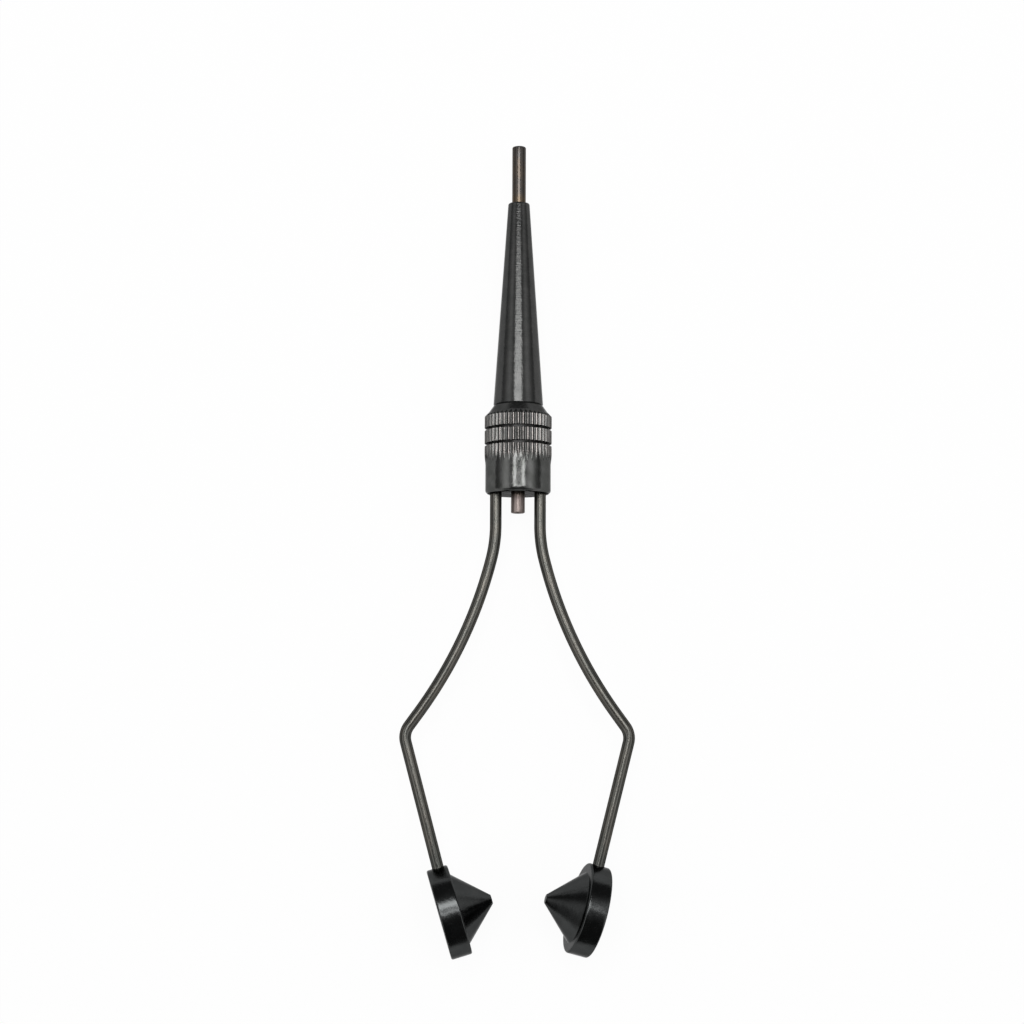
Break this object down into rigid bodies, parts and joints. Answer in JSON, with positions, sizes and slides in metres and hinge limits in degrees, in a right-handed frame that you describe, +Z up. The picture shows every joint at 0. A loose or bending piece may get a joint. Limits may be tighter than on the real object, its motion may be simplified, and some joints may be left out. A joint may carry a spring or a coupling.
{
  "type": "fly tying bobbin holder",
  "caption": "Fly tying bobbin holder: sprung wire arms grip a thread spool between coned feet and the thread leaves through a slim tube in a tapered handle.",
  "frame": {"origin": "on the thread tube's axis, in the plane of the base's rear face", "axes": "+Y along the tube towards its tip, +X across the two arms, +Z up as the tool lies on a bench"},
  "size_m": [0.032, 0.1115, 0.0124],
  "materials": {
    "tube_metal": "drawn tube with a dark brown-grey plating",
    "handle_anodised": "turned and black anodised",
    "base_gunmetal": "dark gunmetal plating, worn brighter on the knurl",
    "wire_gunmetal": "dark plated spring wire",
    "foot_plastic": "satin black moulded plastic"
  },
  "bodies": {
    "stem": {"thread_tube": "tube_metal", "handle": "handle_anodised", "base": "base_gunmetal", "left_shank": "wire_gunmetal", "right_shank": "wire_gunmetal"},
    "left_side": {"left_arm": "wire_gunmetal", "left_foot": "foot_plastic"},
    "right_side": {"right_arm": "wire_gunmetal", "right_foot": "foot_plastic"}
  },
  "joints": [
    {"name": "left_flex", "type": "hinge", "parent": "stem", "child": "left_side", "pos_m": [-0.00359, -0.00885, 0], "axis": [0, 0, -1], "range_deg": [-4, 12], "stiffness_Nm_per_rad": 2.4},
    {"name": "right_flex", "type": "hinge", "parent": "stem", "child": "right_side", "pos_m": [0.00359, -0.00885, 0], "axis": [0, 0, 1], "range_deg": [-4, 12], "stiffness_Nm_per_rad": 2.4}
  ]
}
